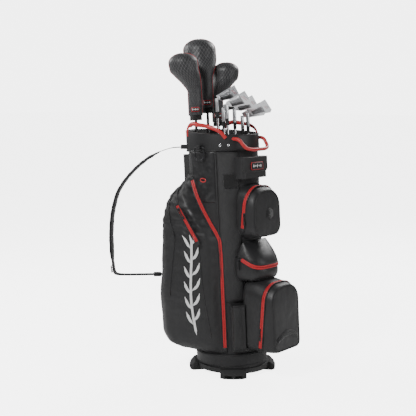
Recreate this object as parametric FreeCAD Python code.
"""Golf club set: a cart bag with its clubs, built as separate pieces.

Units are millimetres. The bag is drawn upright about its own axis ("bag space") and then leaned back,
so the mouth, the slots and the clubs all share one leaning axis while the feet stand level.
The origin is on the floor under the middle of the base, +Z is up and the bag's front faces -Y.
"""
import FreeCAD, Part
import math
import os

V = FreeCAD.Vector

# ---- driving dimensions: the bag ----
LEAN_DEG = 3.4              # how far the bag's axis leans back, towards +Y
BODY_A = 124.0              # outer half width of the body tube, along X
BODY_B = 131.0              # outer half depth of the body tube, along Y
BODY_WALL = 3.0
BODY_BOTTOM = 46.0          # lower edge of the body tube, on the bag's axis
BODY_TOP = 849.0            # upper edge of the body tube, where the cuff sits on it
PIECE_GAP = 0.3             # clearance between pieces that nest without being fastened

BASE_WALL = 5.0
BASE_BOTTOM = 14.0          # underside of the base cup above the floor
BASE_TOP = 78.0             # rim of the base cup, on the bag's axis
FLOOR_TOP = 40.0            # face that the grips stand on, on the bag's axis
FLOOR_THICKNESS = 5.0
BASE_FLANGE = 6.0           # how far the ring at the bottom stands out from the cup's wall
BASE_FLANGE_HEIGHT = 18.0
BASE_UNDER_LIP = 3.0        # how much thicker the cup's wall is under its floor
LEAN_ROOM = 20.0            # spare length of a leaned piece before it is trimmed level

FOOT_ANGLES = (40.0, 130.0, 220.0, 310.0)
FOOT_WIDTH = 98.0
FOOT_HEIGHT = 31.0
FOOT_REACH = 24.0           # how far a foot stands out beyond the base flange
FOOT_DEPTH = 62.0
FOOT_SLOT_WIDTH = 26.0
FOOT_SLOT_HEIGHT = 7.0
FOOT_SLOT_LOW = 5.0         # underside of the two slots above the floor
FOOT_SLOT_DEPTH = 12.0
FOOT_SLOT_SPREAD = 19.0     # middle of each slot from the middle of the foot
FOOT_SLOPE_DEG = 38.0       # how steeply the foot's top falls away at its toe
FOOT_SLOPE_START = 22.0
FOOT_RING_LAP = 16.0        # how far a foot reaches in under the cup

CUFF_OUT_SIDE = 3.0         # how far the cuff stands out beyond the body tube, along X
CUFF_OUT_FRONT = 10.0       # and along Y
CUFF_LIP_SIDE = 11.0        # the cuff's width between its outside and the open mouth, along X
CUFF_LIP_FRONT = 14.0       # and along Y
CUFF_A = BODY_A + CUFF_OUT_SIDE
CUFF_B = BODY_B + CUFF_OUT_FRONT
CUFF_MOUTH_A = CUFF_A - CUFF_LIP_SIDE
CUFF_MOUTH_B = CUFF_B - CUFF_LIP_FRONT
CUFF_SKIRT = 24.0           # how far the cuff reaches down over the body tube
CUFF_BACK_RISE = 56.0       # the rim above the body tube, at the spine
CUFF_FRONT_RISE = 29.0      # and at the front
CUFF_BACK_TOP = BODY_TOP + CUFF_BACK_RISE
CUFF_FRONT_TOP = BODY_TOP + CUFF_FRONT_RISE

DIVIDER_BAR = 8.0           # width of the padded bars across the mouth
DIVIDER_BAR_RISE = 25.0     # the bars' top above the body tube
DIVIDER_BAR_TOP = BODY_TOP + DIVIDER_BAR_RISE
DIVIDER_WALL = 2.0          # fabric walls under the bars
DIVIDER_FLOOR_GAP = 3.0
DIVIDER_MOULD_IN = 2.0      # how far the bars run into the cuff they are moulded with
ROW_BARS = (38.0, -4.5, -45.0, -85.0)          # bars that run along X, by their Y
COLUMN_BARS = (                                 # bars between the rows, by their X, back row first
    (-36.0, 37.0),
    (-38.0, 38.0),
    (-58.0, 38.0),
    (-25.0, 36.0),
    (0.0,),
)

STAY_RADIUS = 4.0
STAY_ANGLES = (35.0, 145.0, 258.0)

HANDLE_RADIUS = 8.0
HANDLE_RISE = 34.0          # clear height under the arch at its highest point
HANDLE_BACK_ANGLE = 36.0    # the side handle's ends on the cuff, measured from +X towards +Y
HANDLE_FRONT_ANGLE = -42.0

FRONT_HANDLE_HALF_WIDTH = 74.0
FRONT_HANDLE_DROP = 42.0
FRONT_HANDLE_STANDOFF = 34.0
FRONT_HANDLE_TOP = BODY_TOP + 19.0
FRONT_HANDLE_RADIUS = 6.5

# ---- driving dimensions: pockets (all in bag space) ----
SPINE_HALF_WIDTH = 60.0
SPINE_THICKNESS = 14.0
SPINE_BOTTOM = 100.0
SPINE_TOP = BODY_TOP - 34.0

APPAREL_BOTTOM = 82.0
APPAREL_HEIGHT = 660.0
APPAREL_BACK_ANGLE = 116.0  # where the pocket meets the spine, from +X
# the fullest plan outline of the left side pocket: direction from +X and distance from the axis
APPAREL_REACH = ((212.0, 124.0), (195.0, 157.0), (172.0, 188.0), (156.0, 225.0), (147.0, 253.0), (139.0, 259.0),
                 (130.0, 234.0), (118.0, 189.0), (108.0, 150.0))
# share of the height, how full the pocket is there, and where its front seam meets the body
APPAREL_LEVELS = ((0.0, 0.06, 212.0), (0.025, 0.50, 212.0), (0.07, 0.86, 212.0), (0.14, 0.98, 212.0),
                  (0.30, 1.0, 212.0), (0.50, 0.92, 212.0), (0.62, 0.88, 211.0), (0.74, 0.84, 194.0),
                  (0.83, 0.72, 178.0), (0.90, 0.50, 166.0), (0.95, 0.24, 159.0), (1.0, 0.03, 153.0))

BALL_HALF_WIDTH = 82.0
BALL_DEPTH = 125.0          # how far the pocket stands out from the body tube
BALL_FRONT = BODY_B + BALL_DEPTH
BALL_BOTTOM = 100.0
BALL_TOP = 362.0

COOLER_HALF_WIDTH = 84.0
COOLER_DEPTH = 59.0
COOLER_FRONT = BODY_B + COOLER_DEPTH
COOLER_BOTTOM = 366.0
COOLER_SEAM = 428.0         # height of the zip between the cooler pocket and its lid, at the front
LID_HINGE_STANDOFF = 5.0    # the lid's hinge edge in front of the body tube
LID_HINGE_FRONT = BODY_B + LID_HINGE_STANDOFF
LID_HINGE_TOP = 498.0
LID_DEPTH = 14.0

UPPER_HALF_WIDTH = 79.0
UPPER_DEPTH = 59.0
UPPER_FRONT = BODY_B + UPPER_DEPTH
UPPER_BOTTOM = 510.0
UPPER_TOP = 705.0

POUCH_HALF_WIDTH = 72.0
POUCH_DEPTH = 19.0
POUCH_FRONT = BODY_B + POUCH_DEPTH
POUCH_HEIGHT = 78.0
POUCH_TOP = BODY_TOP - 49.0
POUCH_BOTTOM = POUCH_TOP - POUCH_HEIGHT
POUCH_MOUTH_HEIGHT = 20.0
FLAP_THICKNESS = 4.0
FLAP_DROP = 54.0
POCKET_WALL = 3.0
POCKET_ROUND = 22.0

SLEEVE_BOTTOM = 90.0
SLEEVE_TOP = 262.0
SLEEVE_FRONT_ANGLE = 247.0
SLEEVE_BACK_ANGLE = 222.0
SLEEVE_DEPTH = 26.0
SLEEVE_WALL = 2.0

# ---- driving dimensions: zips ----
TAPE_WIDTH = 9.0
TAPE_THICKNESS = 1.6
SLIDER_SIZE = (9.0, 4.0, 12.0)
PULL_SIZE = (6.0, 2.0, 30.0)
BALL_ZIP_FRONT = BALL_FRONT - 51.0     # each straight run in front of the axis
BALL_SLIDER_HEIGHT = 182.0
UPPER_ZIP_FRONT = UPPER_FRONT - 38.0
UPPER_SLIDER_HEIGHT = 596.0
COOLER_ZIP_HEIGHT = 404.0
COOLER_SLIDER_FRONT = COOLER_FRONT - 68.0
ACCESSORY_TOP = (-206.0, 60.0, 640.0)
ACCESSORY_BOTTOM = (-180.0, -10.0, 500.0)
ACCESSORY_FACING = 20.0

# ---- driving dimensions: strap ----
STRAP_ANCHOR = (-80.0, 172.0)      # where the strap's upper clip hangs, on the floor plan
STRAP_BEARING_DEG = 120.0          # the way the hanging loop stands out, from +X
TOWEL_RING_WIDTH = 42.0
TOWEL_RING_HEIGHT = 48.0
TOWEL_RING_BAR = 2.6
TOWEL_RING_TOP = BODY_TOP - 7.0
TOWEL_RING_OFFSET = 9.0     # how far the ring hangs outside the cuff
BRACKET_WALL = 4.0          # material round the ring's bar in its bracket
BRACKET_WIDTH = 16.0
TOWEL_RING_Y = 0.0
RIVET_RADIUS = 5.0
RIVET_HEAD = 2.0            # how far a rivet's head stands off the cuff
RIVET_HEIGHT = BODY_TOP - 3.0
RIVET_ANGLES = (212.0, 225.0, 315.0, 328.0)
PAD_WIDTH = 46.0
PAD_THICKNESS = 11.0
WEBBING_WIDTH = 34.0
WEBBING_THICKNESS = 3.0
STRAP_PAD_PATH = ((93, 816), (136, 792), (176, 761), (210, 727), (238, 692), (259, 655), (273, 610),
                  (282, 565), (286, 520), (287, 470), (285, 420), (282, 385))
STRAP_TOP_PATH = ((10, 834), (50, 830), (92, 816.5))
STRAP_LOW_PATH = ((281.5, 384), (279, 362), (276, 348), (268, 340), (240, 338), (170, 341), (112, 344))
STRAP_SPINE_RING = (-34.0, 168.0)  # the lower ring on the spine, on the floor plan
STRAP_LOW_HEIGHT = 344.0

# ---- driving dimensions: clubs ----
GRIP_LENGTH = 268.0
GRIP_BUTT_RADIUS = 13.2
GRIP_MOUTH_RADIUS = 9.6
GRIP_CAP = 5.0
SHAFT_BUTT_RADIUS = 7.6
SHAFT_TIP_RADIUS = 4.7
FERRULE_LENGTH = 24.0
IRON_HOSEL_RADIUS = 6.8
IRON_HOSEL_TO_GROUND = 62.0
IRON_LIE_DEG = 62.0
WOOD_HOSEL_RADIUS = 6.4
HOSEL_DEPTH = 28.0          # how deep the shaft's tip sits in the hosel
STAND_GAP = 0.3             # the butt's clearance over the base floor at rest

# name: slot place in bag space (x, y), way the toe points (degrees from +X), length, loft
IRONS = {
    "iron_4": (-2.0, 17.0, -47.0, 990.0, 21.0),
    "iron_5": (-46.6, -65.0, -60.0, 963.0, 24.0),
    "iron_6": (-18.0, -24.7, -45.0, 953.0, 27.0),
    "iron_7": (-3.7, -65.0, -52.0, 948.0, 31.0),
    "iron_8": (75.4, -65.0, -60.0, 931.0, 35.0),
    "iron_9": (94.0, -24.7, -55.0, 922.0, 40.0),
}
# name: x, y, toe heading, length, lie, head length, depth and height, cover neck radius, height of its hem
WOODS = {
    "driver": (6.0, 71.0, 28.0, 1156.0, 58.0, 114.0, 98.0, 56.0, 23.0, 965.0),
    "fairway_3": (-74.0, 62.0, 130.0, 1100.0, 57.0, 94.0, 76.0, 38.0, 25.0, 940.0),
    "fairway_5": (68.0, 72.0, -70.0, 1072.0, 57.0, 86.0, 68.0, 36.0, 21.0, 914.0),
}
COVER_GAP = 8.0             # room between a head and its cover
COVER_WALL = 4.0
WOOD_WALL = 2.0             # the hollow head's wall
WOOD_HOSEL_TO_GROUND = 66.0


# ---- shared helpers ----
def oval_wire(a, b, z, cx=0.0, cy=0.0):
    """A closed ellipse with half width a along X and half depth b along Y."""
    if a >= b:
        ellipse = Part.Ellipse(V(cx, cy, z), a, b)
    else:
        ellipse = Part.Ellipse(V(cx, cy + b, z), V(cx - a, cy, z), V(cx, cy, z))
    return Part.Wire([ellipse.toShape()])


def oval_block(a, b, low, high):
    """A solid oval column from low to high."""
    return Part.Face(oval_wire(a, b, low)).extrude(V(0, 0, high - low))


def oval_tube(a, b, wall, low, high):
    """An oval tube, open at both ends."""
    outer = oval_block(a, b, low, high)
    return outer.cut(oval_block(a - wall, b - wall, low - 1, high + 1))


def box(x0, x1, y0, y1, z0, z1):
    return Part.makeBox(x1 - x0, y1 - y0, z1 - z0, V(x0, y0, z0))


def polygon_face(points):
    """A flat face whose corners are the given vectors."""
    return Part.Face(Part.makePolygon(list(points) + [points[0]]))


def lean(shape):
    """Turns a shape from bag space into its leaning place."""
    turned = shape.copy()
    turned.rotate(V(0, 0, 0), V(1, 0, 0), -LEAN_DEG)
    return turned


def lean_point(point):
    """The leaning place of a point in bag space."""
    t = math.radians(LEAN_DEG)
    x, y, z = point
    return (x, y * math.cos(t) + z * math.sin(t), z * math.cos(t) - y * math.sin(t))


def on_oval(a, b, angle_deg, z=0.0):
    """The point of an oval seen at an angle parameter from +X."""
    t = math.radians(angle_deg)
    return V(a * math.cos(t), b * math.sin(t), z)


def tube_path(points, radius_share=0.45):
    """Straight runs joined by arcs that touch both runs at each inner point."""
    points = [V(*p) for p in points]
    edges = []
    start = points[0]
    for before, corner, after in zip(points, points[1:], points[2:]):
        into = (corner - before).normalize()
        out = (after - corner).normalize()
        reach = radius_share * min((corner - before).Length, (after - corner).Length)
        first = corner - into * reach
        last = corner + out * reach
        half_turn = into.getAngle(out) / 2
        inward = (out - into).normalize()
        radius = reach / math.tan(half_turn)
        middle = corner + inward * (radius / math.cos(half_turn) - radius)
        edges.append(Part.LineSegment(start, first).toShape())
        edges.append(Part.Arc(first, middle, last).toShape())
        start = last
    edges.append(Part.LineSegment(start, points[-1]).toShape())
    return Part.Wire(edges)


def round_bar(points, radius):
    """A round bar that follows a path of runs and arcs."""
    path = tube_path(points)
    start = V(*points[0])
    along = V(*points[1]) - start
    ring = Part.Wire([Part.makeCircle(radius, start, along)])
    return path.makePipeShell([ring], True, False)


EXPORTED = {}


def export(name, *solids):
    """Writes one node: a single solid or a group of separate solids."""
    shape = solids[0] if len(solids) == 1 else Part.makeCompound(list(solids))
    os.makedirs("parts", exist_ok=True)
    shape.exportStep("parts/" + name + ".step")
    EXPORTED[name] = shape
    return shape


# ---- base ----
def base_outer():
    return BODY_A + PIECE_GAP + BASE_WALL, BODY_B + PIECE_GAP + BASE_WALL


def floor_cut(shape, height):
    """Trims a leaned shape to what stands above a level height."""
    a, b = base_outer()
    return shape.cut(box(-2 * a, 2 * a, -2 * b, 2 * b, height - 2 * LEAN_ROOM - b, height))


def make_base_cup():
    """The moulded cup: a leaning wall with a raised floor, and a level ring that the feet carry."""
    a, b = base_outer()
    inner_a = a - BASE_WALL
    inner_b = b - BASE_WALL
    lip_a = inner_a - BASE_UNDER_LIP
    lip_b = inner_b - BASE_UNDER_LIP
    wall = oval_block(a, b, BASE_BOTTOM - LEAN_ROOM, BASE_TOP)
    hollow = oval_block(inner_a, inner_b, FLOOR_TOP, BASE_TOP + 1)
    under = oval_block(lip_a, lip_b, BASE_BOTTOM - LEAN_ROOM - 1, FLOOR_TOP - FLOOR_THICKNESS)
    cup = floor_cut(lean(wall.cut(hollow).cut(under)), BASE_BOTTOM)
    ring = oval_block(a + BASE_FLANGE, b + BASE_FLANGE, BASE_BOTTOM, BASE_BOTTOM + BASE_FLANGE_HEIGHT)
    ring = ring.cut(oval_block(lip_a, lip_b, BASE_BOTTOM - 1, BASE_BOTTOM + BASE_FLANGE_HEIGHT + 1))
    return cup.fuse(ring).removeSplitter()


def make_foot(angle):
    """One shoe-like rubber foot: a rounded block under and around the ring's edge, with two slots."""
    a, b = base_outer()
    edge = on_oval(a + BASE_FLANGE, b + BASE_FLANGE, angle).Length
    outer = edge + FOOT_REACH
    inner = outer - FOOT_DEPTH
    half = FOOT_WIDTH / 2
    low = [V(inner, -half * 0.8, 0), V(outer - 16, -half, 0), V(outer - 4, -half * 0.72, 0),
           V(outer, 0, 0), V(outer - 4, half * 0.72, 0), V(outer - 16, half, 0), V(inner, half * 0.8, 0)]
    block = polygon_face(low).extrude(V(0, 0, FOOT_HEIGHT))
    slope = Part.makeBox(FOOT_WIDTH, FOOT_WIDTH * 2, FOOT_WIDTH, V(0, -FOOT_WIDTH, 0))
    slope.rotate(V(0, 0, 0), V(0, 1, 0), FOOT_SLOPE_DEG)
    slope.translate(V(outer - FOOT_SLOPE_START, 0, FOOT_HEIGHT))
    block = block.cut(slope)
    for centre in (-FOOT_SLOT_SPREAD, FOOT_SLOT_SPREAD):
        slot = box(outer - FOOT_SLOT_DEPTH, outer + 1, centre - FOOT_SLOT_WIDTH / 2, centre + FOOT_SLOT_WIDTH / 2,
                   FOOT_SLOT_LOW, FOOT_SLOT_LOW + FOOT_SLOT_HEIGHT)
        block = block.cut(slot)
    block.rotate(V(0, 0, 0), V(0, 0, 1), angle)
    block = block.cut(oval_block(a + BASE_FLANGE, b + BASE_FLANGE, BASE_BOTTOM, FOOT_HEIGHT + 1))
    lap = BASE_WALL + FOOT_RING_LAP
    return block.cut(oval_block(a - lap, b - lap, -1, FOOT_HEIGHT + 1))


# ---- body, cuff and dividers ----
def make_body_shell():
    return lean(oval_tube(BODY_A, BODY_B, BODY_WALL, BODY_BOTTOM, BODY_TOP))


def make_stays():
    """Rods against the inside of the body tube that hold the cuff off the base."""
    rods = []
    reach = BODY_WALL + PIECE_GAP + STAY_RADIUS
    for angle in STAY_ANGLES:
        foot = on_oval(BODY_A - reach, BODY_B - reach, angle, FLOOR_TOP + PIECE_GAP)
        rods.append(lean(Part.makeCylinder(STAY_RADIUS, BODY_TOP - FLOOR_TOP - PIECE_GAP, foot, V(0, 0, 1))))
    return rods


def make_cuff():
    """The moulded cuff: a skirt over the body tube and a rim that slopes down to the front."""
    low = BODY_TOP - CUFF_SKIRT
    outer = oval_block(CUFF_A, CUFF_B, low, CUFF_BACK_TOP + 10)
    socket = oval_block(BODY_A + PIECE_GAP, BODY_B + PIECE_GAP, low - 1, BODY_TOP + PIECE_GAP)
    mouth = oval_block(CUFF_MOUTH_A, CUFF_MOUTH_B, low - 1, CUFF_BACK_TOP + 20)
    slope = [V(-200, CUFF_B, CUFF_BACK_TOP), V(-200, -CUFF_B, CUFF_FRONT_TOP),
             V(-200, -CUFF_B - 20, CUFF_BACK_TOP + 60), V(-200, CUFF_B + 20, CUFF_BACK_TOP + 60),
             V(-200, CUFF_B + 20, CUFF_BACK_TOP)]
    trim = polygon_face(slope).extrude(V(400, 0, 0))
    return lean(outer.cut(socket).cut(mouth).cut(trim))


def row_spans(edge):
    """The front and back limits of each row of slots between the bars, back row first."""
    lines = [edge] + list(ROW_BARS) + [-edge]
    return list(zip(lines, lines[1:]))


def divider_plates(width, low, high, a, b):
    """The bars or walls of the divider, each its own solid, trimmed to an oval."""
    limit = oval_block(a, b, low, high)
    plates = []
    for y in ROW_BARS:
        plates.append(box(-a - 1, a + 1, y - width / 2, y + width / 2, low, high).common(limit))
    for (back, front), columns in zip(row_spans(b + width), COLUMN_BARS):
        y1 = back - width / 2
        y0 = front + width / 2
        for x in columns:
            plates.append(box(x - width / 2, x + width / 2, y0, y1, low, high).common(limit))
    return [lean(plate) for plate in plates]


# ---- handles ----
def side_handle_points(side):
    """The centre line of the arch over one side of the rim, in bag space."""
    a = CUFF_A - 4
    b = CUFF_B - 6
    middle_a = a + 1
    marks = ((HANDLE_BACK_ANGLE, -16), (HANDLE_BACK_ANGLE - 3, 14), (HANDLE_BACK_ANGLE - 16, HANDLE_RISE),
             (2, HANDLE_RISE - 4), (-18, HANDLE_RISE - 8), (HANDLE_FRONT_ANGLE + 8, 12),
             (HANDLE_FRONT_ANGLE, -12))
    points = []
    for angle, rise in marks:
        spot = on_oval(middle_a, b, angle)
        rim = rim_height(spot.y)
        points.append((side * spot.x, spot.y, rim + rise))
    return points


def rim_height(y):
    """The height of the sloping rim at a place from the front to the spine."""
    share = (y + CUFF_B) / (2 * CUFF_B)
    return CUFF_FRONT_TOP + share * (CUFF_BACK_TOP - CUFF_FRONT_TOP)


def cuff_solid_block():
    """The cuff's outside as a full block, for trimming what ends on it."""
    return lean(oval_block(CUFF_A, CUFF_B, BODY_TOP - CUFF_SKIRT, CUFF_BACK_TOP + 10))


def make_side_handle(side, cuff):
    bar = round_bar([lean_point(p) for p in side_handle_points(side)], HANDLE_RADIUS)
    return largest(bar.cut(cuff))


def largest(shape):
    """The biggest solid of a trimmed shape."""
    return max(shape.Solids, key=lambda solid: solid.Volume)


def make_front_handle():
    """A U-shaped lift handle that stands off the front of the cuff."""
    w = FRONT_HANDLE_HALF_WIDTH
    top = FRONT_HANDLE_TOP
    low = top - FRONT_HANDLE_DROP
    face = CUFF_B * math.sqrt(1 - (w / CUFF_A) ** 2)
    out = CUFF_B + FRONT_HANDLE_STANDOFF - FRONT_HANDLE_RADIUS
    points = [(-w, -face + 6, top), (-w, -face - 22, top - 3), (-w + 7, -out + 9, low + 7),
              (-w + 34, -out, low), (0, -out - 0.6, low - 0.6), (w - 34, -out, low), (w - 7, -out + 9, low + 7),
              (w, -face - 22, top - 3), (w, -face + 6, top)]
    bar = round_bar([lean_point(p) for p in points], FRONT_HANDLE_RADIUS)
    return largest(bar.cut(cuff_solid_block()))


# ---- pockets ----
def rounded_plan(half_width, back, front, radius, z):
    """A plan outline whose two front corners are round."""
    w, r = half_width, radius
    s = r * math.sin(math.radians(45))
    edges = [
        Part.LineSegment(V(-w, -back, z), V(-w, -front + r, z)).toShape(),
        Part.Arc(V(-w, -front + r, z), V(-w + r - s, -front + r - s, z), V(-w + r, -front, z)).toShape(),
        Part.LineSegment(V(-w + r, -front, z), V(w - r, -front, z)).toShape(),
        Part.Arc(V(w - r, -front, z), V(w - r + s, -front + r - s, z), V(w, -front + r, z)).toShape(),
        Part.LineSegment(V(w, -front + r, z), V(w, -back, z)).toShape(),
        Part.LineSegment(V(w, -back, z), V(-w, -back, z)).toShape(),
    ]
    return Part.Wire(edges)


def body_keepout(gap=PIECE_GAP):
    """The room taken by the body tube."""
    return oval_block(BODY_A + gap, BODY_B + gap, 0, BODY_TOP + 60)


def front_pocket_block(half_width, front, low, high, shrink=0.0):
    """A pocket's outside in bag space: full depth in the middle, drawn in at its top and bottom."""
    w = half_width - shrink
    f = front - shrink
    low = low + shrink
    high = high - shrink
    round_ = POCKET_ROUND - shrink
    levels = ((low, 14, 30), (low + 22, 3, 8), (low + 50, 0, 0), (high - 50, 0, 0), (high - 20, 4, 10),
              (high, 16, 34))
    wires = [rounded_plan(w - side, 20, f - back, round_, z) for z, side, back in levels]
    return Part.makeLoft(wires, True, True)


def make_front_pocket(half_width, front, low, high):
    """A hollow pocket against the front of the body tube."""
    outer = front_pocket_block(half_width, front, low, high).cut(body_keepout())
    inner = front_pocket_block(half_width, front, low, high, POCKET_WALL)
    inner = inner.cut(body_keepout(PIECE_GAP + POCKET_WALL))
    return lean(largest(outer).cut(largest(inner)))


def cooler_profile():
    """The side view of the cooler pocket under its lid, as (distance in front, height)."""
    f = COOLER_FRONT
    seam = COOLER_SEAM - 8 - PIECE_GAP * 2
    back_top = LID_HINGE_TOP - LID_DEPTH - PIECE_GAP * 4
    return [(100, COOLER_BOTTOM), (f - 6, COOLER_BOTTOM), (f, COOLER_BOTTOM + 20), (f, seam),
            (LID_HINGE_FRONT, back_top), (100, back_top)]


def side_block(profile, half_width):
    """A block with the given side view, as wide as the pocket."""
    corners = [V(-half_width, -out, z) for out, z in profile]
    return polygon_face(corners).extrude(V(2 * half_width, 0, 0))


def plan_block(half_width, front, low, high, radius=POCKET_ROUND):
    """A straight block with a pocket's rounded plan outline."""
    return Part.Face(rounded_plan(half_width, 20, front, radius, low)).extrude(V(0, 0, high - low))


def make_cooler_pocket():
    """The insulated pocket: walls round a cold space that is open at the top, under the lid."""
    plan = plan_block(COOLER_HALF_WIDTH, COOLER_FRONT, COOLER_BOTTOM, LID_HINGE_TOP)
    outer = side_block(cooler_profile(), COOLER_HALF_WIDTH).common(plan).cut(body_keepout())
    wall = POCKET_WALL + 3
    plan_in = plan_block(COOLER_HALF_WIDTH - wall, COOLER_FRONT - wall, COOLER_BOTTOM + wall,
                         LID_HINGE_TOP + 50, POCKET_ROUND - wall)
    inner = plan_in.cut(body_keepout(PIECE_GAP + wall))
    return lean(largest(outer).cut(inner))


def make_cooler_lid():
    """The lid: a padded flap over the cold space, hinged along its upper back edge."""
    f = COOLER_FRONT + 2
    profile = [(LID_HINGE_FRONT, LID_HINGE_TOP), (f - 9, COOLER_SEAM + 26), (f, COOLER_SEAM + 12),
               (f, COOLER_SEAM - 8), (LID_HINGE_FRONT, LID_HINGE_TOP - LID_DEPTH)]
    plan = plan_block(COOLER_HALF_WIDTH + 2, f, COOLER_SEAM - 20, LID_HINGE_TOP + 1)
    return lean(side_block(profile, COOLER_HALF_WIDTH + 2).common(plan))


def lid_hinge():
    return lean_point((0.0, -LID_HINGE_FRONT, LID_HINGE_TOP))


def make_pouch():
    """The small valuables pouch under the front handle, with its mouth in front under the flap."""
    w = POUCH_HALF_WIDTH
    t = POCKET_WALL
    outer = plan_block(w, POUCH_FRONT, POUCH_BOTTOM, POUCH_TOP, 14).cut(body_keepout())
    inner = plan_block(w - t, POUCH_FRONT - t, POUCH_BOTTOM + t, POUCH_TOP - t, 11)
    inner = inner.cut(body_keepout(PIECE_GAP + t))
    mouth = box(-w + 14, w - 14, -POUCH_FRONT - 5, -BODY_B - t, POUCH_TOP - 8 - POUCH_MOUTH_HEIGHT, POUCH_TOP - 8)
    return lean(largest(outer).cut(inner).cut(mouth))


def make_pouch_flap():
    """The flap that hangs over the pouch's mouth from a seam at its upper front edge."""
    w = POUCH_HALF_WIDTH + 3
    near = POUCH_FRONT + PIECE_GAP * 2
    far = near + FLAP_THICKNESS
    top = POUCH_TOP - 1
    flap = box(-w, w, -far, -near, top - FLAP_DROP, top)
    corners = [edge for edge in flap.Edges if abs(edge.Length - FLAP_THICKNESS) < 0.01
               and edge.CenterOfMass.z < top - 5]
    return lean(flap.makeFillet(12.0, corners))


def flap_hinge():
    return lean_point((0.0, -(POUCH_FRONT + PIECE_GAP * 2 + FLAP_THICKNESS), POUCH_TOP - 1))


def between(table, value):
    """Reads a table of (key, number) pairs at a value between its keys."""
    pairs = sorted(table)
    for (k0, n0), (k1, n1) in zip(pairs, pairs[1:]):
        if k0 <= value <= k1:
            return n0 + (n1 - n0) * (value - k0) / (k1 - k0)
    return pairs[0][1] if value < pairs[0][0] else pairs[-1][1]


def oval_reach(a, b, angle_deg):
    """The distance from the axis to an oval in one direction."""
    t = math.radians(angle_deg)
    return 1 / math.sqrt((math.cos(t) / a) ** 2 + (math.sin(t) / b) ** 2)


def apparel_outline(z, full, front_angle, side, grow):
    """The plan outline of a side pocket at one height, from its front seam round to the spine."""
    inset = 10.0
    shares = (0.0, 0.07, 0.20, 0.35, 0.48, 0.60, 0.71, 0.82, 0.92, 1.0)
    points = []
    for share in shares:
        angle = front_angle + (APPAREL_BACK_ANGLE - front_angle) * share
        body = oval_reach(BODY_A, BODY_B, angle)
        if share in (0.0, 1.0):
            reach = body - inset
        else:
            rise = min(1.0, share / 0.24)
            reach = body + 1 + (between(APPAREL_REACH, angle) - body) * full * rise + grow
        t = math.radians(angle)
        points.append(V(side * reach * math.cos(t), reach * math.sin(t), z))
    curve = Part.BSplineCurve()
    curve.interpolate(points)
    return Part.Wire([curve.toShape(), Part.LineSegment(points[-1], points[0]).toShape()])


def apparel_block(side, grow=0.0):
    """The outside of a side pocket in bag space. A negative growth gives the space inside it."""
    low = APPAREL_BOTTOM - grow
    tall = APPAREL_HEIGHT + 2 * grow
    wires = [apparel_outline(low + share * tall, full, front, side, grow) for share, full, front in APPAREL_LEVELS]
    return Part.makeLoft(wires, True, True)


def make_apparel_pocket(side):
    """A full-length side pocket: a hollow soft shell along the body tube."""
    outer = apparel_block(side).cut(body_keepout())
    inner = apparel_block(side, -POCKET_WALL).cut(body_keepout(PIECE_GAP + POCKET_WALL))
    return lean(largest(largest(outer).cut(largest(inner))))


def make_spine_pad():
    """The padded spine between the side pockets."""
    block = box(-SPINE_HALF_WIDTH, SPINE_HALF_WIDTH, 0, BODY_B + SPINE_THICKNESS, SPINE_BOTTOM, SPINE_TOP)
    block = block.cut(body_keepout())
    for side in (-1, 1):
        block = block.cut(grown_apparel(side))
    return lean(largest(block))


def grown_apparel(side):
    """A side pocket's room with a little clearance round it."""
    return apparel_block(side, PIECE_GAP * 2)


def sector_block(start_deg, end_deg, low, high):
    """A wide block between two upright planes through the axis."""
    reach = 2 * APPAREL_HEIGHT
    steps = 6
    corners = [V(0, 0, low)]
    for i in range(steps + 1):
        corners.append(on_oval(reach, reach, start_deg + (end_deg - start_deg) * i / steps, low))
    return polygon_face(corners).extrude(V(0, 0, high - low))


def make_mesh_sleeve():
    """The open-topped bottle sleeve between the side pocket and the ball pocket."""
    a = BODY_A + SLEEVE_DEPTH
    b = BODY_B + SLEEVE_DEPTH
    inner_low = SLEEVE_BOTTOM + SLEEVE_WALL
    edge = math.degrees(SLEEVE_WALL / BODY_A)
    outer = oval_block(a, b, SLEEVE_BOTTOM, SLEEVE_TOP).cut(body_keepout())
    outer = outer.common(sector_block(SLEEVE_BACK_ANGLE, SLEEVE_FRONT_ANGLE, SLEEVE_BOTTOM, SLEEVE_TOP))
    inner = oval_block(a - SLEEVE_WALL, b - SLEEVE_WALL, inner_low, SLEEVE_TOP + 1)
    inner = inner.cut(body_keepout(PIECE_GAP + SLEEVE_WALL))
    inner = inner.common(sector_block(SLEEVE_BACK_ANGLE + edge, SLEEVE_FRONT_ANGLE - edge, inner_low, SLEEVE_TOP + 1))
    ball = front_pocket_block(BALL_HALF_WIDTH, BALL_FRONT, BALL_BOTTOM, BALL_TOP, -PIECE_GAP * 2)
    return lean(largest(outer.cut(inner).cut(grown_apparel(1)).cut(ball)))


# ---- zips ----
def side_zip(half_width, depth_front, low, high):
    """The straight run of a zip tape on the left flank of a front pocket."""
    y = -depth_front
    return lean(box(-half_width - TAPE_THICKNESS, -half_width, y - TAPE_WIDTH / 2, y + TAPE_WIDTH / 2, low, high))


def side_slider(half_width, depth_front, height):
    """A slider on that run with its pull hanging under it, clear of the tape."""
    width, thickness, tall = SLIDER_SIZE
    pull_width, pull_thickness, pull_length = PULL_SIZE
    x = -half_width - TAPE_THICKNESS - PIECE_GAP
    y = -depth_front
    body = box(x - thickness, x, y - width / 2, y + width / 2, height, height + tall)
    pull = box(x - thickness, x - thickness + pull_thickness, y - pull_width / 2, y + pull_width / 2,
               height - pull_length, height)
    return lean(body.fuse(pull).removeSplitter())


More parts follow.
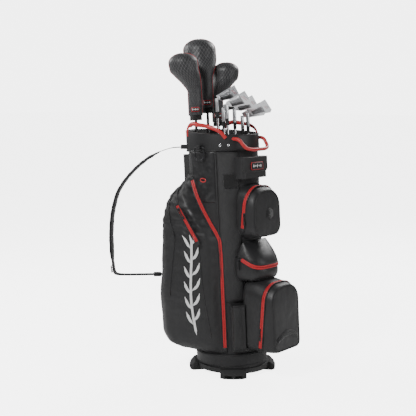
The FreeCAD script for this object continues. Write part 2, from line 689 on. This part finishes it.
def seam_slider():
    """The slider of the cooler's zip, on its left flank at the seam under the lid."""
    width, thickness, tall = SLIDER_SIZE
    pull_width, pull_thickness, pull_length = PULL_SIZE
    x = -COOLER_HALF_WIDTH - 2 - TAPE_THICKNESS - PIECE_GAP
    y = -COOLER_SLIDER_FRONT
    body = box(x - thickness, x, y - tall / 2, y + tall / 2, COOLER_ZIP_HEIGHT - width / 2,
               COOLER_ZIP_HEIGHT + width / 2)
    pull = box(x - thickness, x - thickness + pull_thickness, y - pull_width / 2, y + pull_width / 2,
               COOLER_ZIP_HEIGHT - width / 2 - pull_length, COOLER_ZIP_HEIGHT - width / 2)
    return lean(body.fuse(pull).removeSplitter())


def cooler_tape():
    """The straight run of the cooler's zip tape on its left flank."""
    x = -COOLER_HALF_WIDTH - TAPE_THICKNESS - 2
    half = TAPE_WIDTH / 2
    return lean(box(x, x + TAPE_THICKNESS + 2, -COOLER_FRONT + 24, -COOLER_SLIDER_FRONT + 12,
                    COOLER_ZIP_HEIGHT - half, COOLER_ZIP_HEIGHT + half))


def panel_frame():
    """The straight pocket zip on the left side pocket: its upper end and its direction, in bag space."""
    top = V(*ACCESSORY_TOP)
    low = V(*ACCESSORY_BOTTOM)
    along = (low - top).normalize()
    outward = V(-math.cos(math.radians(ACCESSORY_FACING)), -math.sin(math.radians(ACCESSORY_FACING)), 0)
    outward = (outward - along * outward.dot(along)).normalize()
    return top, low, along, outward, along.cross(outward)


def bar_between(start, end, width, thickness, across, outward):
    """A flat bar from start to end. Its inner face lies on the line and it stands outwards."""
    half = across * (width / 2)
    corners = [start - half, start + half, start + half + outward * thickness, start - half + outward * thickness]
    return polygon_face(corners).extrude(end - start)


def accessory_tape():
    """The tape of the straight zip on the left side pocket, filled in down to the pocket."""
    top, low, along, outward, across = panel_frame()
    depth = 26.0
    block = bar_between(top - outward * depth, low - outward * depth, TAPE_WIDTH, depth, across, outward)
    return largest(lean(block.cut(apparel_block(1))))


def accessory_slider():
    top, low, along, outward, across = panel_frame()
    width, thickness, tall = SLIDER_SIZE
    pull_width, pull_thickness, pull_length = PULL_SIZE
    foot = top + outward * PIECE_GAP + along * 4
    body = bar_between(foot, foot + along * tall, width, thickness, across, outward)
    pull_start = foot + along * tall + outward * (thickness - pull_thickness)
    pull = bar_between(pull_start, pull_start + along * pull_length, pull_width, pull_thickness, across, outward)
    return lean(body.fuse(pull).removeSplitter())


def accessory_travel():
    """The slider's straight path in the leaning frame."""
    start = V(*lean_point(ACCESSORY_TOP))
    end = V(*lean_point(ACCESSORY_BOTTOM))
    return start, (end - start).normalize(), (end - start).Length


# ---- strap and its hardware ----
def strap_direction(bearing_deg):
    t = math.radians(bearing_deg)
    return V(math.cos(t), math.sin(t), 0), V(-math.sin(t), math.cos(t), 0)


def flat_band(path, width, thickness, anchor=STRAP_ANCHOR, bearing_deg=STRAP_BEARING_DEG):
    """A flat band along a path in an upright plane, its width standing across that plane."""
    out, across = strap_direction(bearing_deg)
    foot = V(anchor[0], anchor[1], 0)
    near = []
    far = []
    for i, (reach, height) in enumerate(path):
        reach0, height0 = path[max(0, i - 1)]
        reach1, height1 = path[min(len(path) - 1, i + 1)]
        length = math.hypot(reach1 - reach0, height1 - height0)
        side_out = -(height1 - height0) / length * thickness / 2
        side_up = (reach1 - reach0) / length * thickness / 2
        near.append(foot + out * (reach + side_out) + V(0, 0, height + side_up))
        far.append(foot + out * (reach - side_out) + V(0, 0, height - side_up))
    face = polygon_face([p - across * (width / 2) for p in near + far[::-1]])
    return face.extrude(across * width)


def low_strap_run():
    """The plan distance and bearing from the spine ring to the end of the strap's lower path."""
    out, across = strap_direction(STRAP_BEARING_DEG)
    end = V(STRAP_ANCHOR[0], STRAP_ANCHOR[1], 0) + out * STRAP_LOW_PATH[-1][0]
    run = end - V(STRAP_SPINE_RING[0], STRAP_SPINE_RING[1], 0)
    return run.Length, math.degrees(math.atan2(run.y, run.x))


def make_low_webbing():
    """The last stretch of webbing, from the strap's plane in to the ring on the spine."""
    length, bearing = low_strap_run()
    clear = WEBBING_WIDTH * 0.6
    path = ((24.0, STRAP_LOW_HEIGHT), (length - clear, STRAP_LOW_HEIGHT))
    return flat_band(path, WEBBING_WIDTH, WEBBING_THICKNESS, STRAP_SPINE_RING, bearing)


def clip_block(anchor, bearing_deg, start, end, height, tall=16.0, wide=24.0):
    """A plain clip body lying along the strap."""
    out, across = strap_direction(bearing_deg)
    foot = V(anchor[0], anchor[1], height - tall / 2)
    corners = [foot + out * start - across * (wide / 2), foot + out * start + across * (wide / 2),
               foot + out * end + across * (wide / 2), foot + out * end - across * (wide / 2)]
    return polygon_face(corners).extrude(V(0, 0, tall))


def make_strap_hardware():
    """The upper clip on the cuff, the lower clip on the spine and the link where the webbing turns."""
    length, bearing = low_strap_run()
    upper = clip_block(STRAP_ANCHOR, STRAP_BEARING_DEG, -20.0, STRAP_TOP_PATH[0][0], STRAP_TOP_PATH[0][1] + 1)
    upper = upper.cut(cuff_solid_block()).cut(flat_band(STRAP_TOP_PATH, WEBBING_WIDTH, WEBBING_THICKNESS))
    lower = clip_block(STRAP_SPINE_RING, bearing, -30.0, 24.0, STRAP_LOW_HEIGHT)
    lower = lower.cut(lean(body_keepout(1.0))).cut(make_spine_pad())
    link_start = length - WEBBING_WIDTH * 0.6
    link = clip_block(STRAP_SPINE_RING, bearing, link_start, length + 8.0, STRAP_LOW_HEIGHT, 12.0, 30.0)
    link = link.cut(flat_band(STRAP_LOW_PATH, WEBBING_WIDTH + 4, WEBBING_THICKNESS)).cut(make_low_webbing())
    return [largest(upper), largest(lower), largest(link)]


def make_towel_ring():
    """An oval ring hanging flat against the cuff from a pin through its bracket."""
    x = -(CUFF_A + TOWEL_RING_OFFSET)
    y = TOWEL_RING_Y
    half = TOWEL_RING_WIDTH / 2
    top = TOWEL_RING_TOP
    low = top - TOWEL_RING_HEIGHT
    points = [(x, y, top), (x, y - half, top), (x, y - half, low), (x, y + half, low), (x, y + half, top),
              (x, y, top)]
    return lean(round_bar(points, TOWEL_RING_BAR))


def towel_ring_pin():
    return lean_point((-(CUFF_A + TOWEL_RING_OFFSET), TOWEL_RING_Y, TOWEL_RING_TOP))


def make_ring_bracket():
    """The block on the cuff that holds the towel ring's upper bar."""
    x = -(CUFF_A + TOWEL_RING_OFFSET)
    bore_radius = TOWEL_RING_BAR + PIECE_GAP
    reach = bore_radius + BRACKET_WALL
    half = BRACKET_WIDTH / 2
    block = box(x - reach, -CUFF_A + BRACKET_WIDTH, TOWEL_RING_Y - half, TOWEL_RING_Y + half,
                TOWEL_RING_TOP - reach, TOWEL_RING_TOP + reach)
    block = block.cut(oval_block(CUFF_A, CUFF_B, BODY_BOTTOM, CUFF_BACK_TOP))
    start = V(x, TOWEL_RING_Y - BRACKET_WIDTH, TOWEL_RING_TOP)
    bore = Part.makeCylinder(bore_radius, 2 * BRACKET_WIDTH, start, V(0, 1, 0))
    return lean(largest(block.cut(bore)))


def make_rivets():
    """Flat rivet heads round the cuff's skirt."""
    rivets = []
    for angle in RIVET_ANGLES:
        spot = on_oval(CUFF_A, CUFF_B, angle, RIVET_HEIGHT)
        normal = V(math.cos(math.radians(angle)) / CUFF_A, math.sin(math.radians(angle)) / CUFF_B, 0).normalize()
        rivets.append(lean(Part.makeCylinder(RIVET_RADIUS, RIVET_HEAD, spot, normal)))
    return rivets


# ---- clubs: each is drawn on its own axis with the butt at the origin, then set in its slot ----
def place_club(shape, x, y, heading):
    """Turns a club so that its toe points the given way, stands it in its slot and leans it."""
    put = shape.copy()
    put.rotate(V(0, 0, 0), V(0, 0, 1), heading)
    put.translate(V(x, y, FLOOR_TOP + STAND_GAP))
    return lean(put)


def address_point(x, up, back, length, lie_deg):
    """A head's point, from heel-to-toe, height and depth as it sits on the ground, on the club's axis."""
    t = math.radians(lie_deg)
    return V(math.sin(t) * x + math.cos(t) * up, back, length + math.cos(t) * x - math.sin(t) * up)


def hosel_end(length, to_ground):
    return length - to_ground


def make_shaft(length, to_ground):
    """The tapered steel or graphite tube, from inside the grip up into the hosel."""
    top = hosel_end(length, to_ground) + HOSEL_DEPTH
    return Part.makeCone(SHAFT_BUTT_RADIUS, SHAFT_TIP_RADIUS, top - GRIP_CAP, V(0, 0, GRIP_CAP), V(0, 0, 1))


def make_grip(shaft):
    """The rubber sleeve over the butt, closed at its end."""
    sleeve = Part.makeCone(GRIP_BUTT_RADIUS, GRIP_MOUTH_RADIUS, GRIP_LENGTH)
    return sleeve.cut(shaft)


def make_ferrule(length, to_ground, shaft, radius):
    """The collar on the shaft just under the hosel."""
    low = hosel_end(length, to_ground) - FERRULE_LENGTH
    collar = Part.makeCone(SHAFT_TIP_RADIUS + 1.2, radius, FERRULE_LENGTH, V(0, 0, low), V(0, 0, 1))
    return collar.cut(shaft)


def make_hosel(length, to_ground, radius, shaft, depth):
    """The neck of a head round the shaft's tip."""
    low = hosel_end(length, to_ground)
    return Part.makeCylinder(radius, depth, V(0, 0, low), V(0, 0, 1)).cut(shaft)


def blade_section(x, height, sole, crown, length, loft_deg):
    """One upright cut through an iron's blade, at a distance from the heel."""
    tilt = math.tan(math.radians(loft_deg))
    lead = -5.0
    corners = ((1.0, lead), (height, lead + height * tilt), (height, lead + height * tilt + crown),
               (height * 0.45, lead + height * 0.45 * tilt + crown + 2), (2.0, lead + sole))
    return Part.makePolygon([address_point(x, up, back, length, IRON_LIE_DEG) for up, back in corners] +
                            [address_point(x, corners[0][0], corners[0][1], length, IRON_LIE_DEG)])


def make_iron_head(length, loft, shaft):
    """A lofted blade with its hosel."""
    cuts = ((-3.0, 19.0, 12.0, 6.0), (10.0, 29.0, 17.0, 6.0), (40.0, 41.0, 19.0, 5.0), (66.0, 51.0, 19.0, 4.5),
            (76.0, 45.0, 15.0, 4.5))
    wires = [blade_section(x, height, sole, crown, length, loft) for x, height, sole, crown in cuts]
    blade = Part.makeLoft(wires, True, True)
    neck = make_hosel(length, IRON_HOSEL_TO_GROUND, IRON_HOSEL_RADIUS, shaft, IRON_HOSEL_TO_GROUND - 12)
    return blade.fuse(neck).cut(shaft).removeSplitter()


def wood_centre(length, lie, head_length, head_depth, head_height):
    return address_point(head_length / 2 - 15, head_height / 2, head_depth / 2 - 17, length, lie)


def ellipsoid(half_x, half_y, half_z):
    """A solid ellipsoid about the origin."""
    ball = Part.makeSphere(1.0)
    matrix = FreeCAD.Matrix()
    matrix.scale(half_x, half_y, half_z)
    return ball.transformGeometry(matrix)


def make_wood_head(length, lie, head_length, head_depth, head_height, shaft):
    """A hollow wood head with its hosel: an ellipsoid tilted to the club's lie."""
    centre = wood_centre(length, lie, head_length, head_depth, head_height)
    half = (head_length / 2, head_depth / 2, head_height / 2)
    outer = ellipsoid(*half)
    outer.rotate(V(0, 0, 0), V(0, 1, 0), -(90 - lie))
    outer.translate(centre)
    inner = ellipsoid(*[h - WOOD_WALL for h in half])
    inner.rotate(V(0, 0, 0), V(0, 1, 0), -(90 - lie))
    inner.translate(centre)
    neck = make_hosel(length, WOOD_HOSEL_TO_GROUND, WOOD_HOSEL_RADIUS, shaft, WOOD_HOSEL_TO_GROUND - 16)
    return largest(outer.fuse(neck).cut(inner).cut(shaft))


def cover_levels(centre, half_tall, hem):
    """The cover's rings, as height, shift towards the head and share of the way from neck to bulb."""
    low = centre.z - half_tall
    return ((hem, 0.0, 0.0), (low - 52, 0.0, 0.0), (low - 24, 0.22, 0.28), (low + half_tall * 0.20, 0.66, 0.78),
            (low + half_tall * 0.60, 0.90, 0.98), (centre.z + half_tall * 0.35, 1.0, 1.0),
            (centre.z + half_tall * 0.76, 1.0, 0.80), (centre.z + half_tall * 0.96, 1.0, 0.42),
            (centre.z + half_tall, 1.0, 0.15))


def cover_shape(centre, half_wide, half_deep, half_tall, neck, hem):
    wires = []
    for height, shift, share in cover_levels(centre, half_tall, hem):
        a = neck + (half_wide - neck) * share if height < centre.z else half_wide * share
        b = neck + (half_deep - neck) * share if height < centre.z else half_deep * share
        wires.append(oval_wire(a, b, height, centre.x * shift, centre.y * shift))
    return Part.makeLoft(wires, True, True)


def make_cover(length, lie, head_length, head_depth, head_height, neck, hem):
    """A padded cover: a pear-shaped shell round the head, open at its knitted neck."""
    centre = wood_centre(length, lie, head_length, head_depth, head_height)
    t = math.radians(lie)
    half_x = math.hypot(math.sin(t) * head_length / 2, math.cos(t) * head_height / 2)
    half_z = math.hypot(math.cos(t) * head_length / 2, math.sin(t) * head_height / 2)
    room = COVER_GAP
    skin = COVER_GAP + COVER_WALL
    hem = hem - FLOOR_TOP
    outer = cover_shape(centre, half_x + skin, head_depth / 2 + skin, half_z + skin + 3, neck, hem)
    inner = cover_shape(centre, half_x + room, head_depth / 2 + room, half_z + room + 3, neck - COVER_WALL, hem - 1)
    return largest(outer.cut(inner))


def build_irons():
    for name, (x, y, heading, length, loft) in IRONS.items():
        shaft = make_shaft(length, IRON_HOSEL_TO_GROUND)
        head = make_iron_head(length, loft, shaft)
        ferrule = make_ferrule(length, IRON_HOSEL_TO_GROUND, shaft, IRON_HOSEL_RADIUS)
        export(name + "_head", place_club(head, x, y, heading))
        export(name + "_shaft", place_club(shaft, x, y, heading))
        export(name + "_grip_and_ferrule", place_club(make_grip(shaft), x, y, heading),
               place_club(ferrule, x, y, heading))


def build_woods():
    for name, (x, y, heading, length, lie, long_, deep, tall, neck, hem) in WOODS.items():
        shaft = make_shaft(length, WOOD_HOSEL_TO_GROUND)
        head = make_wood_head(length, lie, long_, deep, tall, shaft)
        ferrule = make_ferrule(length, WOOD_HOSEL_TO_GROUND, shaft, WOOD_HOSEL_RADIUS)
        cover = make_cover(length, lie, long_, deep, tall, neck, hem)
        export(name + "_head", place_club(head, x, y, heading))
        export(name + "_shaft", place_club(shaft, x, y, heading))
        export(name + "_grip_and_ferrule", place_club(make_grip(shaft), x, y, heading),
               place_club(ferrule, x, y, heading))
        export(name + "_cover", place_club(cover, x, y, heading))


def build_bag():
    cuff = make_cuff()
    export("base_cup", make_base_cup())
    export("base_feet", *[make_foot(angle) for angle in FOOT_ANGLES])
    export("body_shell", make_body_shell())
    export("frame_stays", *make_stays())
    export("top_cuff", cuff)
    export("divider_grid", *divider_plates(DIVIDER_BAR, BODY_TOP + PIECE_GAP, DIVIDER_BAR_TOP,
                                           CUFF_MOUTH_A + DIVIDER_MOULD_IN, CUFF_MOUTH_B + DIVIDER_MOULD_IN))
    inside = BODY_WALL + PIECE_GAP
    export("divider_walls", *divider_plates(DIVIDER_WALL, FLOOR_TOP + DIVIDER_FLOOR_GAP, BODY_TOP,
                                            BODY_A - inside, BODY_B - inside))
    export("side_handles", *[make_side_handle(side, cuff_solid_block()) for side in (-1, 1)])
    export("front_handle", make_front_handle())
    export("spine_pad", make_spine_pad())
    export("left_apparel_pocket", make_apparel_pocket(1))
    export("right_apparel_pocket", make_apparel_pocket(-1))
    export("ball_pocket", make_front_pocket(BALL_HALF_WIDTH, BALL_FRONT, BALL_BOTTOM, BALL_TOP))
    export("cooler_pocket", make_cooler_pocket())
    export("cooler_lid", make_cooler_lid())
    export("upper_pocket", make_front_pocket(UPPER_HALF_WIDTH, UPPER_FRONT, UPPER_BOTTOM, UPPER_TOP))
    export("pouch", make_pouch())
    export("pouch_flap", make_pouch_flap())
    export("mesh_sleeve", make_mesh_sleeve())
    export("zip_tapes", side_zip(BALL_HALF_WIDTH, BALL_ZIP_FRONT, BALL_BOTTOM + 50, BALL_TOP - 50),
           side_zip(UPPER_HALF_WIDTH, UPPER_ZIP_FRONT, UPPER_BOTTOM + 50, UPPER_TOP - 50),
           cooler_tape(), accessory_tape())
    export("ball_zip_slider", side_slider(BALL_HALF_WIDTH, BALL_ZIP_FRONT, BALL_SLIDER_HEIGHT))
    export("upper_zip_slider", side_slider(UPPER_HALF_WIDTH, UPPER_ZIP_FRONT, UPPER_SLIDER_HEIGHT))
    export("cooler_zip_slider", seam_slider())
    export("accessory_zip_slider", accessory_slider())
    export("shoulder_pad", flat_band(STRAP_PAD_PATH, PAD_WIDTH, PAD_THICKNESS))
    export("strap_webbing", flat_band(STRAP_TOP_PATH, WEBBING_WIDTH, WEBBING_THICKNESS),
           flat_band(STRAP_LOW_PATH, WEBBING_WIDTH, WEBBING_THICKNESS), make_low_webbing())
    export("strap_hardware", *make_strap_hardware(), make_ring_bracket())
    export("towel_ring", make_towel_ring())
    export("rivets", *make_rivets())


def club_axis():
    """The direction in which a club lifts out of its slot."""
    return V(*lean_point((0.0, 0.0, 1.0)))


def moving_places():
    """Where the moving pieces turn, and the straight lines they slide along."""
    ring_axis = V(*lean_point((0.0, 1.0, 0.0)))
    slide_start, slide_axis, slide_length = accessory_travel()
    return {
        "cooler_lid": {"at": lid_hinge(), "axis": (-1.0, 0.0, 0.0)},
        "pouch_flap": {"at": flap_hinge(), "axis": (-1.0, 0.0, 0.0)},
        "towel_ring": {"at": towel_ring_pin(), "axis": tuple(ring_axis)},
        "accessory_zip_slider": {"at": tuple(slide_start), "axis": tuple(slide_axis), "length": slide_length},
        "side_zip_slider": {"axis": tuple(club_axis())},
        "cooler_zip_slider": {"axis": tuple(-ring_axis)},
        "club": {"axis": tuple(club_axis())},
    }


build_bag()
build_irons()
build_woods()
for moving, place in moving_places().items():
    print(moving, place)
